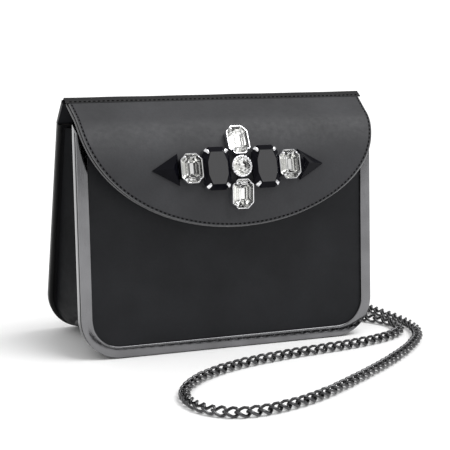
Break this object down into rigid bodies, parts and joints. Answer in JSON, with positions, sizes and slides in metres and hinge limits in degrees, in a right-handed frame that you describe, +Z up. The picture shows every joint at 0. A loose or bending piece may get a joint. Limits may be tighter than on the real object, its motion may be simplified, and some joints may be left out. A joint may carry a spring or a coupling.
{
  "type": "evening bag",
  "caption": "Structured black evening bag with a metal front frame, a jewelled hinged flap, folded side gussets, a magnetic snap and a long chain strap.",
  "frame": {"origin": "middle of the base strip's underside, on the surface the bag stands on", "axes": "+X to the right seen from the front, +Y to the back, +Z up; the jewelled flap faces -Y"},
  "size_m": [0.2372, 0.248, 0.1606],
  "materials": {
    "panel_leather": "smooth, semi-matt, near black",
    "flap_leather": "fine grain, semi-matt, near black",
    "edge_leather": "smooth, matt, black",
    "lining": "suede-like, matt",
    "board": "pressed fibre board",
    "gunmetal": "polished gunmetal plating",
    "fittings": "polished gunmetal plating",
    "settings": "bright plating",
    "clear_stone": "polished, faceted",
    "black_stone": "polished, faceted, opaque black"
  },
  "bodies": {
    "shell": {"back_leather": "panel_leather", "back_board": "board", "back_lining": "lining", "back_binding": "edge_leather", "top_yoke": "panel_leather", "ridge_roll": "flap_leather", "base_leather": "panel_leather", "base_board": "board", "base_lining": "lining", "inner_pocket": "lining", "gusset_left": "edge_leather", "gusset_right": "edge_leather", "ring_tab_left": "flap_leather", "ring_tab_right": "flap_leather", "d_ring_left": "fittings", "d_ring_right": "fittings", "end_link_left": "fittings", "end_link_right": "fittings", "chain_strap": "gunmetal"},
    "front": {"front_frame": "gunmetal", "front_leather": "panel_leather", "front_board": "board", "front_lining": "lining", "snap_socket": "fittings", "snap_riser": "flap_leather", "socket_plate": "fittings"},
    "flap": {"flap_leather": "flap_leather", "flap_board": "board", "flap_lining": "lining", "snap_stud": "fittings", "stud_plate": "fittings", "stone_round": "clear_stone", "setting_round": "settings", "crystal_top": "clear_stone", "crystal_setting_top": "settings", "crystal_bottom": "clear_stone", "crystal_setting_bottom": "settings", "crystal_left": "clear_stone", "crystal_setting_left": "settings", "crystal_right": "clear_stone", "crystal_setting_right": "settings", "black_stone_left": "black_stone", "black_setting_left": "settings", "spike_left": "black_stone", "black_stone_right": "black_stone", "black_setting_right": "settings", "spike_right": "black_stone"}
  },
  "joints": [
    {"name": "flap_hinge", "type": "hinge", "parent": "shell", "child": "flap", "pos_m": [0, -0.0105, 0.1586], "axis": [-1, 0, 0], "range_deg": [0, 165]},
    {"name": "front_swing", "type": "hinge", "parent": "shell", "child": "front", "pos_m": [0, -0.043, 0.0007], "axis": [1, 0, 0], "range_deg": [0, 12], "deforming": ["gusset_left", "gusset_right"]}
  ],
  "couplings": [
    {"joint": "front_swing", "follows": "flap_hinge", "ratio": 0.0727}
  ]
}
